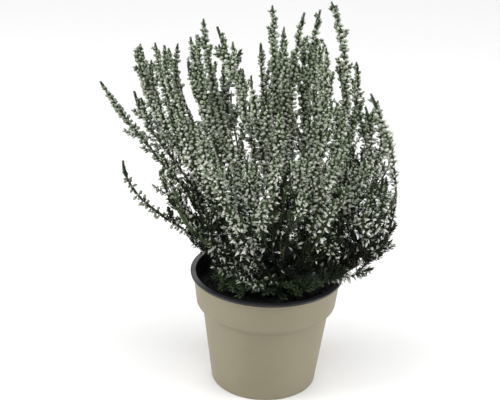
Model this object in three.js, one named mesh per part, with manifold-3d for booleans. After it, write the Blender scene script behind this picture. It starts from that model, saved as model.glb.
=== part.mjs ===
// Potted heather: a bud-blooming ling heather in a two-tone plastic nursery pot, 12 cm across the rim.
// Millimetres, +Z up. The origin is the centre of the pot's base, on the surface that the pot stands on.

import * as THREE from 'three';
import * as BufferGeometryUtils from 'three/addons/utils/BufferGeometryUtils.js';
import Module from 'manifold-3d';

const wasm = await Module();
wasm.setup();

// --- Pot: outer radii and heights ---

const POT_HEIGHT = 94;
const RIM_RADIUS = 60;
const WALL = 0.9;
const LIP_HEIGHT = 2.7; // how far the rolled rim reaches down outside the collar
const LIP_INNER_RADIUS = 55.8;
const LIP_FILLET = 0.9;
const COLLAR_TOP_RADIUS = 57.6;
const COLLAR_FOOT_RADIUS = 54.8;
const COLLAR_FOOT_Z = 67.7;
const CREASE_RADIUS = 49.9; // where the collar's shoulder meets the body
const CREASE_Z = 63.5;
const BASE_RADIUS = 41.3;
const BASE_EDGE = 1.2; // rounded edge under the body
const FOOT_RING_RADIUS = 35.5; // inner radius of the ring that the pot stands on
const CENTRE_DISC_RADIUS = 15; // flat disc in the middle, level with the ring
const CHANNEL_RISE = 3; // height of the drained channel between ring and disc
const CHANNEL_SLOPE = 1.5;
const DRAIN_COUNT = 8;
const DRAIN_RADIUS = 3.5;
const DRAIN_CIRCLE = 25;
const DRAIN_SIDES = 12;
const DRILL_LENGTH = 3 * WALL;
const POT_SIDES = 40;
const FILLET_STEPS = 2;

// --- Peat ---

const SEAT = 0.35; // gap between pieces that rest on or grow from each other
const PEAT_EDGE_Z = 80.5; // where the peat meets the pot's wall
const PEAT_MOUND = 3; // how much higher it stands in the middle
const MOUND_RINGS = 4;

// --- Shoots ---

const STEM_RADIUS = 1.7; // woody main stem at the peat
const SHOOT_RADIUS = 1.1; // side shoot where it forks off
const TWIG_RADIUS = 0.8; // any stem just below its spike
const SPIKE_RADIUS = 3.6; // body of leaves and buds round the stem
const SPIKE_TIP_RADIUS = 1.1;
const SPIKE_LENGTH = 95;
const SPIKE_SHARE = 0.62; // a short shoot's spike takes this share of its length
const SPIKE_SHOULDER = 7; // length over which the spike swells
const SHOULDER_SHARE = 0.9; // of its radius, at the end of the shoulder
const SPIKE_SHAPE = [[0.35, 1], [0.65, 0.85], [0.85, 0.6]]; // shares of the spike's length and of its radius
const SHOOT_SIDES = 6;
const STEM_STEPS = 5;
const FORK_ANGLE = 34; // between a side shoot and its main stem, in degrees
const FIRST_FORK = 0.14; // share of the main stem's length
const FORK_STEP = 0.065;
const HANDLES = [0.34, 0.44]; // shares of its span over which a shoot keeps its end directions
const CLEARANCE = 1.2; // least gap between shoots, measured on their smooth curves
const BEAD_STEP = 2; // spacing of the points at which that gap is measured
const FORK_BEADS = 4; // a side shoot's first points lie by its own main stem
const BOW_STEP = 5; // a shoot in the way of another bows aside in steps of this size
const BOW_RINGS = 7;
const BOW_DIRECTIONS = 8;
const BOW_AT_FOOT = 0.5; // share of the bow that moves the curve near the foot

// Each branch is a woody main stem, which ends in a flowering spike of its own, and its side shoots.
// foot is where the main stem comes out of the peat, [x, y], and tip is where a shoot ends, [x, y, z].
// rise and lean are its tilt away from upright, in degrees, at its foot and at its tip, towards the side that
// the tip lies on. A negative lean curls back to the middle. handles takes the place of HANDLES.
const BRANCHES = [
  { foot: [-9, 3], tip: [-129, 5, 243], rise: 36, lean: 23, handles: [0.9, 0.25], shoots: [
    { tip: [-80, -30, 190], lean: 2 },
    { tip: [-69, -35, 236], lean: 12 },
    { tip: [-102, 15, 269], lean: 10, handles: [0.3, 0.7] },
    { tip: [-108, 35, 225], lean: 20 },
  ] },
  { foot: [-10, -6], tip: [-110, -15, 188], rise: 39, lean: -19, handles: [0.45, 0.25], shoots: [
    { tip: [-68, -58, 183], lean: 10 },
    { tip: [-52, -56, 230], lean: 15 },
  ] },
  { foot: [-3, 11], tip: [-94, 45, 260], rise: 43, lean: 61, handles: [0.8, 0.1], shoots: [
    { tip: [-83, 5, 272], lean: 10, handles: [0.45, 0.6] },
    { tip: [-74, 30, 266], lean: -15, handles: [0.35, 0.3] },
    { tip: [-86, 72, 205], lean: 22 },
    { tip: [-50, 76, 226], lean: 14 },
  ] },
  { foot: [1, 3], tip: [-54, 20, 289], rise: 12, lean: -7, handles: [0.35, 0.2], shoots: [
    { tip: [-62, -10, 284], lean: 6, handles: [0.2, 0.35] },
    { tip: [-61, 50, 267], lean: 8 },
    { tip: [-42, -5, 291], lean: 0, handles: [0.8, 0.2] },
    { tip: [-34, 60, 220], lean: 5 },
  ] },
  { foot: [-3, -13], tip: [-31, -50, 233], rise: 22, lean: 14, shoots: [
    { tip: [-39, -80, 214], lean: 22 },
    { tip: [-29, -92, 186], lean: 34 },
    { tip: [-17, -80, 216], lean: 20 },
  ] },
  { foot: [7, 6], tip: [-5, 3, 306], rise: 3, lean: 26, handles: [0.9, 0.1], shoots: [
    { tip: [-26, 10, 270], lean: -20 },
    { tip: [-12, 55, 261], lean: 20 },
    { tip: [7, -15, 286], lean: 2 },
    { tip: [-17, -30, 263], lean: 4 },
  ] },
  { foot: [6, -12], tip: [5, -50, 246], rise: 16, lean: 8, shoots: [
    { tip: [2, -85, 222], lean: 22 },
    { tip: [-5, -95, 193], lean: 34 },
    { tip: [22, -75, 226], lean: 18 },
  ] },
  { foot: [14, 2], tip: [37, 0, 311], rise: 28, lean: -60, handles: [0.5, 0.1], shoots: [
    { tip: [20, 5, 301], lean: 24, handles: [0.2, 0.2] },
    { tip: [32, 25, 298], lean: 28, handles: [0.2, 0.2] },
    { tip: [13, 40, 262], lean: 14, handles: [0.45, 0.55] },
    { tip: [35, -25, 285], lean: -20, handles: [0.55, 0.3] },
  ] },
  { foot: [14, -16], tip: [45, -86, 193], rise: 38, lean: 24, shoots: [
    { tip: [24, -95, 200], lean: 28 },
    { tip: [51, -35, 241], lean: 6 },
    { tip: [36, -50, 251], lean: 8 },
    { tip: [44, -75, 220], lean: 16 },
  ] },
  { foot: [20, 8], tip: [68, -5, 234], rise: 24, lean: -19, shoots: [
    { tip: [61, 30, 257], lean: -17, handles: [0.3, 0.35] },
    { tip: [77, -10, 228], lean: -8, handles: [0.5, 0.6] },
    { tip: [93, 28, 190], lean: 0 },
    { tip: [67, -50, 210], lean: 6 },
  ] },
  { foot: [27, -7], tip: [70, -25, 251], rise: 63, lean: -27, handles: [0.4, 0.65], shoots: [
    { tip: [81, -24, 111], lean: 62 },
    { tip: [90, 15, 150], lean: 5 },
    { tip: [83, -50, 190], lean: 0 },
    { tip: [69, -66, 184], lean: 14 },
  ] },
  { foot: [8, 16], tip: [5, 80, 245], rise: 28, lean: 14, shoots: [
    { tip: [-40, 98, 195], lean: 28 },
    { tip: [40, 95, 205], lean: 26 },
    { tip: [76, 68, 200], lean: 20 },
  ] },
];

// Short green sprigs over the peat, described as a main stem is.
const SPRIGS = [
  { foot: [-24, -7], tip: [-45, 2, 108], rise: 30, lean: 55 },
  { foot: [19, -24], tip: [38, -16, 95], rise: 35, lean: 70 },
  { foot: [9, -21], tip: [-13, -28, 94], rise: 35, lean: 75 },
];
const SPRIG_RADIUS = 0.7;
const SPRIG_LEAF_RADIUS = 2.2;
const SPRIG_TOP_RADIUS = 1.8;
const SPRIG_SHAPE = [ // shares of a sprig's length, and its radius there
  [0, SPRIG_RADIUS],
  [0.25, SPRIG_RADIUS],
  [0.4, SPRIG_LEAF_RADIUS],
  [0.8, SPRIG_TOP_RADIUS],
  [1, SPRIG_RADIUS],
];

// --- Materials ---

const potPlastic = new THREE.MeshStandardMaterial({ color: 0xa89e86, roughness: 0.55, metalness: 0 });
const peat = new THREE.MeshStandardMaterial({ color: 0x1d1712, roughness: 1, metalness: 0 });
const budsAndLeaves = new THREE.MeshStandardMaterial({ color: 0x8f9a86, roughness: 0.8, metalness: 0 });
const greenLeaves = new THREE.MeshStandardMaterial({ color: 0x33502f, roughness: 0.8, metalness: 0 });

// --- Helpers ---

const UP = new THREE.Vector3(0, 0, 1);

function named(name, geometry, material) {
  const mesh = new THREE.Mesh(geometry, material);
  mesh.name = name;
  return mesh;
}

function numbered(name, index) {
  return `${name}_${String(index + 1).padStart(2, '0')}`;
}

// Turns an outline of [radius, z] points, from the axis and back to it, about the Z axis.
function turned(outline, sides) {
  const points = outline.map(([radius, z]) => new THREE.Vector2(radius, z));
  return new THREE.LatheGeometry(points, sides).rotateX(Math.PI / 2);
}

function toSolid(geometry) {
  const bare = geometry.clone();
  bare.deleteAttribute('normal');
  bare.deleteAttribute('uv');
  const merged = BufferGeometryUtils.mergeVertices(bare);
  const vertProperties = new Float32Array(merged.attributes.position.array);
  const triVerts = new Uint32Array(merged.index.array);
  return new wasm.Manifold(new wasm.Mesh({ numProp: 3, vertProperties, triVerts }));
}

function fromSolid(solid) {
  const mesh = solid.getMesh();
  const geometry = new THREE.BufferGeometry();
  geometry.setAttribute('position', new THREE.BufferAttribute(mesh.vertProperties, 3));
  geometry.setIndex(new THREE.BufferAttribute(mesh.triVerts, 1));
  geometry.computeVertexNormals();
  return geometry;
}

// The points from one radius and height to another, each [radius, z], on the quarter of an ellipse that
// leaves the first one along the axis.
function fillet([r0, z0], [r1, z1]) {
  return Array.from({ length: FILLET_STEPS + 1 }, (_, i) => {
    const turn = (i / FILLET_STEPS) * Math.PI / 2;
    return [r1 + (r0 - r1) * Math.cos(turn), z0 + (z1 - z0) * Math.sin(turn)];
  });
}

// --- Pot ---

// One thin shell: flat centre disc, raised channel and foot ring below, tapered body, shoulder and collar,
// and a rim that rolls outwards with its free edge hanging clear of the collar.
function potGeometry() {
  const lipZ = POT_HEIGHT - LIP_HEIGHT;
  const rollZ = POT_HEIGHT - WALL;
  const filletZ = POT_HEIGHT - LIP_FILLET;
  const outline = [
    [0, 0],
    [CENTRE_DISC_RADIUS, 0],
    [CENTRE_DISC_RADIUS + CHANNEL_SLOPE, CHANNEL_RISE],
    [FOOT_RING_RADIUS - CHANNEL_SLOPE, CHANNEL_RISE],
    [FOOT_RING_RADIUS, 0],
    ...fillet([BASE_RADIUS, BASE_EDGE], [BASE_RADIUS - BASE_EDGE, 0]).reverse(),
    [CREASE_RADIUS, CREASE_Z],
    [COLLAR_FOOT_RADIUS, COLLAR_FOOT_Z],
    [COLLAR_TOP_RADIUS, lipZ],
    [COLLAR_TOP_RADIUS, rollZ],
    [RIM_RADIUS - WALL, rollZ],
    [RIM_RADIUS - WALL, lipZ],
    [RIM_RADIUS, lipZ],
    ...fillet([RIM_RADIUS, filletZ], [RIM_RADIUS - LIP_FILLET, POT_HEIGHT]),
    ...fillet([LIP_INNER_RADIUS, filletZ], [LIP_INNER_RADIUS + LIP_FILLET, POT_HEIGHT]).reverse(),
    [COLLAR_TOP_RADIUS - WALL, lipZ - WALL],
    [COLLAR_FOOT_RADIUS - WALL, COLLAR_FOOT_Z + WALL / 2],
    [CREASE_RADIUS - WALL, CREASE_Z + WALL / 2],
    [BASE_RADIUS - WALL, WALL + BASE_EDGE],
    [BASE_RADIUS - WALL - BASE_EDGE, WALL],
    [FOOT_RING_RADIUS + WALL / 2, WALL],
    [FOOT_RING_RADIUS - CHANNEL_SLOPE + WALL / 2, CHANNEL_RISE + WALL],
    [CENTRE_DISC_RADIUS + CHANNEL_SLOPE - WALL / 2, CHANNEL_RISE + WALL],
    [CENTRE_DISC_RADIUS - WALL / 2, WALL],
    [0, WALL],
  ];
  let solid = toSolid(turned(outline, POT_SIDES));
  for (let i = 0; i < DRAIN_COUNT; i += 1) {
    const angle = (i + 0.5) / DRAIN_COUNT * Math.PI * 2;
    const drill = new THREE.CylinderGeometry(DRAIN_RADIUS, DRAIN_RADIUS, DRILL_LENGTH, DRAIN_SIDES);
    drill.rotateX(Math.PI / 2);
    drill.translate(DRAIN_CIRCLE * Math.cos(angle), DRAIN_CIRCLE * Math.sin(angle), CHANNEL_RISE + WALL / 2);
    solid = solid.subtract(toSolid(drill));
  }
  return fromSolid(solid);
}

// --- Peat ---

const PEAT_EDGE_RADIUS = THREE.MathUtils.mapLinear(
  PEAT_EDGE_Z, COLLAR_FOOT_Z, POT_HEIGHT - LIP_HEIGHT, COLLAR_FOOT_RADIUS, COLLAR_TOP_RADIUS,
) - WALL - SEAT;

function peatHeight(radius) {
  return PEAT_EDGE_Z + PEAT_MOUND * (1 - (radius / PEAT_EDGE_RADIUS) ** 2);
}

// Fills the pot up to the middle of its collar, a seat's gap inside the wall, with a low mound on top.
function peatGeometry() {
  const skin = WALL + SEAT;
  const mound = Array.from({ length: MOUND_RINGS + 1 }, (_, i) => {
    const radius = PEAT_EDGE_RADIUS * (1 - i / MOUND_RINGS);
    return [radius, peatHeight(radius)];
  });
  return turned([
    [0, skin],
    [CENTRE_DISC_RADIUS - skin, skin],
    [CENTRE_DISC_RADIUS + CHANNEL_SLOPE - skin, CHANNEL_RISE + skin],
    [FOOT_RING_RADIUS - CHANNEL_SLOPE + skin, CHANNEL_RISE + skin],
    [FOOT_RING_RADIUS + skin, skin],
    [BASE_RADIUS - skin - BASE_EDGE, skin],
    [BASE_RADIUS - skin, skin + BASE_EDGE],
    [CREASE_RADIUS - skin, CREASE_Z + skin / 2],
    [COLLAR_FOOT_RADIUS - skin, COLLAR_FOOT_Z + skin / 2],
    ...mound,
  ], POT_SIDES);
}

// --- Shoots ---

function radians(degrees) {
  return THREE.MathUtils.degToRad(degrees);
}

// The direction tilted away from upright by some degrees, towards a horizontal direction.
function tilted(towards, degrees) {
  const upright = UP.clone().multiplyScalar(Math.cos(radians(degrees)));
  return upright.addScaledVector(towards, Math.sin(radians(degrees)));
}

// A shoot's centre line, from its foot to its tip. bow moves its middle aside.
function centreLine(foot, footDirection, { tip: [x, y, z], lean, handles = HANDLES }, bow) {
  const tip = new THREE.Vector3(x, y, z);
  const outwards = new THREE.Vector3(x, y, 0).normalize();
  const span = foot.distanceTo(tip);
  const start = foot.clone().addScaledVector(footDirection, handles[0] * span);
  start.addScaledVector(bow, BOW_AT_FOOT);
  const end = tip.clone().addScaledVector(tilted(outwards, lean), -handles[1] * span).add(bow);
  return new THREE.CubicBezierCurve3(foot, start, end, tip);
}

// The radius along a shoot as [distance, radius] stations: a thin stem, then the spike of leaves and buds.
function stations(length, footRadius) {
  const spike = Math.min(SPIKE_LENGTH, SPIKE_SHARE * length);
  const neck = length - spike;
  const stem = Array.from({ length: STEM_STEPS + 1 }, (_, i) => {
    const share = i / STEM_STEPS;
    return [neck * share, THREE.MathUtils.lerp(footRadius, TWIG_RADIUS, share)];
  });
  const body = SPIKE_SHAPE.map(([along, across]) => [neck + spike * along, SPIKE_RADIUS * across]);
  return [
    ...stem,
    [neck + SPIKE_SHOULDER, SPIKE_RADIUS * SHOULDER_SHARE],
    ...body,
    [length, SPIKE_TIP_RADIUS],
  ];
}

function sprigStations(length) {
  return SPRIG_SHAPE.map(([share, radius]) => [share * length, radius]);
}

function radiusAt(profile, distance) {
  const next = Math.max(1, profile.findIndex(([station]) => station >= distance));
  const [d0, r0] = profile[next - 1];
  const [d1, r1] = profile[next];
  return THREE.MathUtils.mapLinear(distance, d0, d1, r0, r1);
}

// Points every few millimetres along a shoot, each with the shoot's radius there.
function beads(curve, profile) {
  const length = curve.getLength();
  const count = Math.ceil(length / BEAD_STEP);
  return Array.from({ length: count + 1 }, (_, i) => ({
    at: curve.getPointAt(i / count),
    radius: radiusAt(profile, (i / count) * length),
  }));
}

function clearOf(mine, others, skipped) {
  return mine.slice(skipped).every((a) => others.every(
    (b) => a.at.distanceToSquared(b.at) > (a.radius + b.radius + CLEARANCE) ** 2,
  ));
}

// Sideways moves to try for a shoot's middle, the smallest first.
function bows() {
  const moves = [new THREE.Vector3()];
  for (let ring = 1; ring <= BOW_RINGS; ring += 1) {
    for (let i = 0; i < BOW_DIRECTIONS; i += 1) {
      const angle = (i + ring / 2) / BOW_DIRECTIONS * Math.PI * 2;
      moves.push(new THREE.Vector3(Math.cos(angle), Math.sin(angle), 0).multiplyScalar(ring * BOW_STEP));
    }
  }
  return moves;
}

// Grows a shoot clear of those already grown. A side shoot's foot lies beside its own main stem, its parent.
function grow(name, foot, footDirection, shape, makeProfile, grown, parent) {
  for (const bow of bows()) {
    const curve = centreLine(foot, footDirection, shape, bow);
    const profile = makeProfile(curve.getLength());
    const mine = beads(curve, profile);
    const clear = grown.every((other) => clearOf(mine, other.beads, other === parent ? FORK_BEADS : 0));
    if (clear) {
      const shoot = { name, curve, profile, beads: mine };
      grown.push(shoot);
      return shoot;
    }
  }
  throw new Error(`${name} has no way clear of the other shoots`);
}

// The foot of a stem that comes out of the peat, and its direction there.
function footOnPeat({ foot: [x, y], tip, rise }, radius) {
  const outwards = new THREE.Vector3(tip[0] - x, tip[1] - y, 0).normalize();
  const z = peatHeight(Math.hypot(x, y)) + SEAT + radius * Math.sin(radians(rise));
  return { foot: new THREE.Vector3(x, y, z), direction: tilted(outwards, rise) };
}

function growMainStem(name, branch, grown) {
  const { foot, direction } = footOnPeat(branch, STEM_RADIUS);
  return grow(name, foot, direction, branch, (length) => stations(length, STEM_RADIUS), grown, null);
}

// A side shoot forks off its main stem towards its own tip, a seat's gap off the bark.
function growSideShoot(name, shoot, order, parent, grown) {
  const share = FIRST_FORK + FORK_STEP * order;
  const fork = parent.curve.getPointAt(share);
  const along = parent.curve.getTangentAt(share);
  const outwards = new THREE.Vector3(...shoot.tip).sub(fork);
  outwards.addScaledVector(along, -outwards.dot(along)).normalize();
  const barkRadius = radiusAt(parent.profile, share * parent.curve.getLength());
  const offset = barkRadius + SEAT + SHOOT_RADIUS * Math.cos(radians(FORK_ANGLE));
  const foot = fork.clone().addScaledVector(outwards, offset);
  const direction = along.clone().multiplyScalar(Math.cos(radians(FORK_ANGLE)));
  direction.addScaledVector(outwards, Math.sin(radians(FORK_ANGLE)));
  const profile = (length) => stations(length, SHOOT_RADIUS);
  return grow(name, foot, direction, shoot, profile, grown, parent);
}

function growSprig(name, sprig, grown) {
  const { foot, direction } = footOnPeat(sprig, SPRIG_RADIUS);
  return grow(name, foot, direction, sprig, sprigStations, grown, null);
}

// A turned body of the shoot's radius, bent along its centre line.
function shootGeometry({ curve, profile }) {
  const length = curve.getLength();
  const outline = [[0, 0], ...profile.map(([distance, radius]) => [radius, distance]), [0, length]];
  const geometry = turned(outline, SHOOT_SIDES);
  const position = geometry.attributes.position;
  const point = new THREE.Vector3();
  const turn = new THREE.Quaternion();
  for (let i = 0; i < position.count; i += 1) {
    point.fromBufferAttribute(position, i);
    const share = THREE.MathUtils.clamp(point.z / length, 0, 1);
    turn.setFromUnitVectors(UP, curve.getTangentAt(share));
    point.z = 0;
    point.applyQuaternion(turn).add(curve.getPointAt(share));
    position.setXYZ(i, point.x, point.y, point.z);
  }
  geometry.computeVertexNormals();
  return geometry;
}

// --- Plant ---

// Main stems first, so that they keep their lines, then the side shoots round them, then the sprigs.
function plant() {
  const grown = [];
  const mainStems = BRANCHES.map((branch, i) => growMainStem(numbered('main_stem', i), branch, grown));
  let count = 0;
  BRANCHES.forEach((branch, i) => {
    branch.shoots.forEach((shoot, order) => {
      growSideShoot(numbered('flower_shoot', count), shoot, order, mainStems[i], grown);
      count += 1;
    });
  });
  const woody = grown.length;
  SPRIGS.forEach((sprig, i) => growSprig(numbered('base_sprig', i), sprig, grown));
  const group = new THREE.Group();
  grown.forEach((shoot, i) => {
    group.add(named(shoot.name, shootGeometry(shoot), i < woody ? budsAndLeaves : greenLeaves));
  });
  return group;
}

// --- Assembly ---

const pottedHeather = new THREE.Group();
pottedHeather.add(named('pot', potGeometry(), potPlastic));
pottedHeather.add(named('peat_soil', peatGeometry(), peat));
pottedHeather.add(plant());

export default pottedHeather;
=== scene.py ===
"""Looks of the potted heather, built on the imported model's frame.

Metres, +Z up, with the camera on the -Y side. Pixels count from the top left of a picture of 500 x 400.
"""

import math
from typing import NamedTuple

import bmesh
import bpy
import numpy as np
from mathutils import Matrix, Vector


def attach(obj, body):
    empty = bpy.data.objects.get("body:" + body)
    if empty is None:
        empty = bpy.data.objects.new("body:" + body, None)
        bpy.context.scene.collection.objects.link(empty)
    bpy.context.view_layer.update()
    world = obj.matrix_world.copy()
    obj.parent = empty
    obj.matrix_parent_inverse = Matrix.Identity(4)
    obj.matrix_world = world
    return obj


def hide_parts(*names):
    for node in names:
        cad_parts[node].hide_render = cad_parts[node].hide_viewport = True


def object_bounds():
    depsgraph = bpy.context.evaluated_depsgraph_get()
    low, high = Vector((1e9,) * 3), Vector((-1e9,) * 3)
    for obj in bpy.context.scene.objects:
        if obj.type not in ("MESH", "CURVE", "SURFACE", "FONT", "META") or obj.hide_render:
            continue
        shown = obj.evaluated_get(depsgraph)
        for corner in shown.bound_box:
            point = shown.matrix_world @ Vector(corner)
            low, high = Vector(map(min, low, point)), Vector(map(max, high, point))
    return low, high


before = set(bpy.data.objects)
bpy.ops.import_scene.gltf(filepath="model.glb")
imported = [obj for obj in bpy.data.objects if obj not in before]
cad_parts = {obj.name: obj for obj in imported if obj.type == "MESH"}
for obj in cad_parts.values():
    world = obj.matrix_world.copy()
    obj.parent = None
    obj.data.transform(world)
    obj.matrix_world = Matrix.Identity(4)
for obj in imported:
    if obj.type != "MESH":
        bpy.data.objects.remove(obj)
cad_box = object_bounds()

MM = 0.001
GOLDEN_ANGLE = math.radians(137.508)
ROOT = "root"

# The camera and its picture. It looks down by 24 degrees from 1.14 m away, with a long lens.
LENS = 100
SENSOR = 36
PICTURE = (500, 400)
FOCAL_PIXELS = LENS / SENSOR * PICTURE[0]
CAMERA_PLACE = (0.0, -0.97517, 0.58316)
CAMERA_RIGHT = Vector((0.99907, 0.02954, 0.0315))
CAMERA_UP = Vector((-0.04074, 0.40263, 0.91445))
CAMERA_TURN = Matrix((CAMERA_RIGHT, CAMERA_UP, CAMERA_RIGHT.cross(CAMERA_UP))).transposed()


def in_picture(points):
    """Where points are seen, in pixels."""
    seen = (points - np.array(CAMERA_PLACE)) @ np.array(CAMERA_TURN)
    scale = FOCAL_PIXELS / -seen[..., 2]
    return np.stack([PICTURE[0] / 2 + seen[..., 0] * scale, PICTURE[1] / 2 - seen[..., 1] * scale], axis=-1)


def behind_pixel(x, y, depth):
    """The point that is seen at a pixel and lies at a depth along the Y axis."""
    turn = np.array(CAMERA_TURN)
    across = (x - PICTURE[0] / 2) / FOCAL_PIXELS
    upwards = (PICTURE[1] / 2 - y) / FOCAL_PIXELS
    sight = turn @ np.array([across, upwards, -1.0])
    return np.array(CAMERA_PLACE) + sight * (depth - CAMERA_PLACE[1]) / sight[1]


# --- Materials ---


class Nodes:
    """Short calls for a material's node tree."""

    def __init__(self, name, roughness, specular):
        self.material = bpy.data.materials.new(name)
        self.material.use_nodes = True
        self.tree = self.material.node_tree
        self.shader = self.tree.nodes["Principled BSDF"]
        self.shader.inputs["Roughness"].default_value = roughness
        self.shader.inputs["Specular IOR Level"].default_value = specular

    def add(self, kind, **values):
        node = self.tree.nodes.new("ShaderNode" + kind)
        for key, value in values.items():
            setattr(node, key, value)
        return node

    def link(self, output, socket):
        self.tree.links.new(output, socket)

    def attribute(self, name):
        return self.add("Attribute", attribute_name=name).outputs["Fac"]

    def noise(self, scale, detail=3.0, stretch=(1.0, 1.0, 1.0)):
        place = self.add("TexCoord")
        mapping = self.add("Mapping")
        mapping.inputs["Scale"].default_value = stretch
        noise = self.add("TexNoise")
        noise.inputs["Scale"].default_value = scale
        noise.inputs["Detail"].default_value = detail
        self.link(place.outputs["Object"], mapping.inputs["Vector"])
        self.link(mapping.outputs["Vector"], noise.inputs["Vector"])
        return noise.outputs["Fac"]

    def ramp(self, factor, stops):
        ramp = self.add("ValToRGB")
        elements = ramp.color_ramp.elements
        while len(elements) < len(stops):
            elements.new(0.5)
        for element, (position, colour) in zip(elements, stops):
            element.position = position
            element.color = (*colour, 1.0)
        self.link(factor, ramp.inputs["Fac"])
        return ramp.outputs["Color"]

    def mix(self, factor, first, second, blend="MIX"):
        node = self.add("Mix", data_type="RGBA", blend_type=blend)
        for socket, value in ((node.inputs[0], factor), (node.inputs[6], first), (node.inputs[7], second)):
            if isinstance(value, bpy.types.NodeSocket):
                self.link(value, socket)
            elif socket.type == "RGBA":
                socket.default_value = (*value, 1.0)
            else:
                socket.default_value = value
        return node.outputs[2]

    def multiply(self, colour, *others):
        for other in others:
            colour = self.mix(1.0, colour, other, "MULTIPLY")
        return colour

    def map_range(self, value, low, high, to_low, to_high):
        node = self.add("MapRange")
        self.link(value, node.inputs["Value"])
        for name, number in (("From Min", low), ("From Max", high), ("To Min", to_low), ("To Max", to_high)):
            node.inputs[name].default_value = number
        return node.outputs["Result"]

    def grey(self, value, low, high):
        """A grey from low to high as value goes from 0 to 1, for multiplying a colour by."""
        return self.ramp(value, ((0.0, (low,) * 3), (1.0, (high,) * 3)))

    def colour(self, output):
        self.link(output, self.shader.inputs["Base Color"])

    def roughness(self, output):
        self.link(output, self.shader.inputs["Roughness"])

    def bump(self, height, depth):
        node = self.add("Bump")
        node.inputs["Distance"].default_value = depth
        node.inputs["Strength"].default_value = 1.0
        self.link(height, node.inputs["Height"])
        self.link(node.outputs["Normal"], self.shader.inputs["Normal"])


def plastic_material(name, roughness, specular, scales, colours, grain_contrast, roughness_range):
    """Plastic with a faint cloudy colour and a fine grain, whose scales are given in this order."""
    m = Nodes(name, roughness, specular)
    cloud = m.noise(scales[0], detail=4.0)
    grain = m.noise(scales[1], detail=2.0)
    base = m.ramp(cloud, ((0.3, colours[0]), (0.7, colours[1])))
    m.colour(m.multiply(base, m.grey(grain, 1 - grain_contrast, 1 + grain_contrast)))
    m.roughness(m.map_range(cloud, 0.3, 0.7, *roughness_range))
    m.bump(grain, 0.06 * MM)
    return m.material


def peat_material():
    m = Nodes("peat", 0.95, specular=0.2)
    coarse = m.noise(260.0, detail=6.0)
    fine = m.noise(1500.0, detail=4.0)
    damp, usual, dry = (0.003, 0.0035, 0.004), (0.007, 0.0075, 0.0075), (0.019, 0.017, 0.014)
    base = m.ramp(coarse, ((0.32, damp), (0.55, usual), (0.75, dry)))
    m.colour(m.multiply(base, m.grey(m.attribute("tint"), 0.6, 1.7), m.grey(fine, 0.6, 1.4)))
    m.bump(coarse, 0.8 * MM)
    return m.material


def fibre_material():
    m = Nodes("peat_fibre", 0.85, specular=0.2)
    fine = m.noise(700.0)
    base = m.ramp(m.attribute("tint"), ((0.0, (0.014, 0.011, 0.008)), (1.0, (0.06, 0.046, 0.03))))
    m.colour(m.multiply(base, m.grey(fine, 0.7, 1.3)))
    m.bump(fine, 0.1 * MM)
    return m.material


def bark_material():
    """Near-black bark at a stem's foot, partly old wood and partly painted shade deep in the crown, pale and
    then brown further up, and green-brown young wood towards its tip.
    """
    m = Nodes("bark", 0.75, specular=0.12)
    streaks = m.noise(900.0, detail=4.0, stretch=(1.0, 1.0, 0.2))
    # The near-black foot stops are old wood darkened further by painted shade for stems deep in the crown.
    old, dark, pale = (0.018, 0.016, 0.012), (0.030, 0.028, 0.018), (0.150, 0.125, 0.085)
    brown, green = (0.090, 0.085, 0.045), (0.030, 0.048, 0.019)
    wood = m.ramp(m.attribute("along"), ((0.0, old), (0.2, dark), (0.38, pale), (0.6, brown), (1.0, green)))
    m.colour(m.multiply(wood, m.grey(m.attribute("tint"), 0.7, 1.3), m.grey(streaks, 0.6, 1.4)))
    m.bump(streaks, 0.25 * MM)
    return m.material


def leaf_material():
    """Green scale leaves, which painted shade makes dark and grey."""
    m = Nodes("scale_leaf", 0.6, specular=0.12)
    fine = m.noise(1400.0)
    dull, usual, fresh = (0.022, 0.037, 0.018), (0.062, 0.091, 0.046), (0.106, 0.154, 0.075)
    green = m.ramp(m.attribute("tint"), ((0.0, dull), (0.6, usual), (1.0, fresh)))
    # Painted shade: the leaf's shade value darkens and greys its green where the crown's shadow is deep.
    shaded_green = m.mix(m.attribute("age"), green, m.multiply(green, (0.13, 0.115, 0.18)))
    m.colour(m.multiply(shaded_green, m.grey(m.attribute("along"), 0.75, 1.35), m.grey(fine, 0.8, 1.2)))
    m.bump(fine, 0.1 * MM)
    return m.material


def bud_material():
    """Closed buds: green bracts at the foot, then sepals, which turn from green to white with age."""
    m = Nodes("bud", 0.55, specular=0.25)
    fine = m.noise(1200.0)
    along = m.attribute("along")
    bracts = m.ramp(m.attribute("tint"), ((0.0, (0.022, 0.040, 0.015)), (1.0, (0.060, 0.090, 0.033))))
    young = m.ramp(along, ((0.28, (0.10, 0.15, 0.07)), (0.6, (0.28, 0.33, 0.22)), (1.0, (0.26, 0.305, 0.20))))
    old = m.ramp(along, ((0.28, (0.32, 0.35, 0.25)), (0.5, (0.77, 0.785, 0.72)), (1.0, (0.73, 0.73, 0.65))))
    sepals = m.mix(m.attribute("age"), young, old)
    whole = m.mix(m.ramp(along, ((0.18, (0.0,) * 3), (0.3, (1.0,) * 3))), bracts, sepals)
    m.colour(m.multiply(whole, m.grey(m.attribute("tint"), 0.72, 1.12), m.grey(fine, 0.88, 1.12)))
    m.bump(fine, 0.1 * MM)
    return m.material


def floor_material():
    m = Nodes("floor", 0.8, specular=0.1)
    m.shader.inputs["Base Color"].default_value = (0.85, 0.85, 0.85, 1.0)
    return m.material


TAUPE = ((0.224, 0.199, 0.130), (0.249, 0.221, 0.146))
BLACK = ((0.009, 0.0096, 0.012), (0.015, 0.016, 0.019))
POT_OUTSIDE = plastic_material("taupe_plastic", 0.5, 0.35, (22.0, 900.0), TAUPE, 0.04, (0.44, 0.58))
POT_INSIDE = plastic_material("black_plastic", 0.42, 0.45, (60.0, 1100.0), BLACK, 0.15, (0.34, 0.52))
PEAT = peat_material()
FIBRE = fibre_material()
BARK = bark_material()
LEAF = leaf_material()
BUD = bud_material()


# --- Mesh helpers ---


def add_object(name, data):
    thing = bpy.data.objects.new(name, data)
    bpy.context.scene.collection.objects.link(thing)
    return thing


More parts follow.
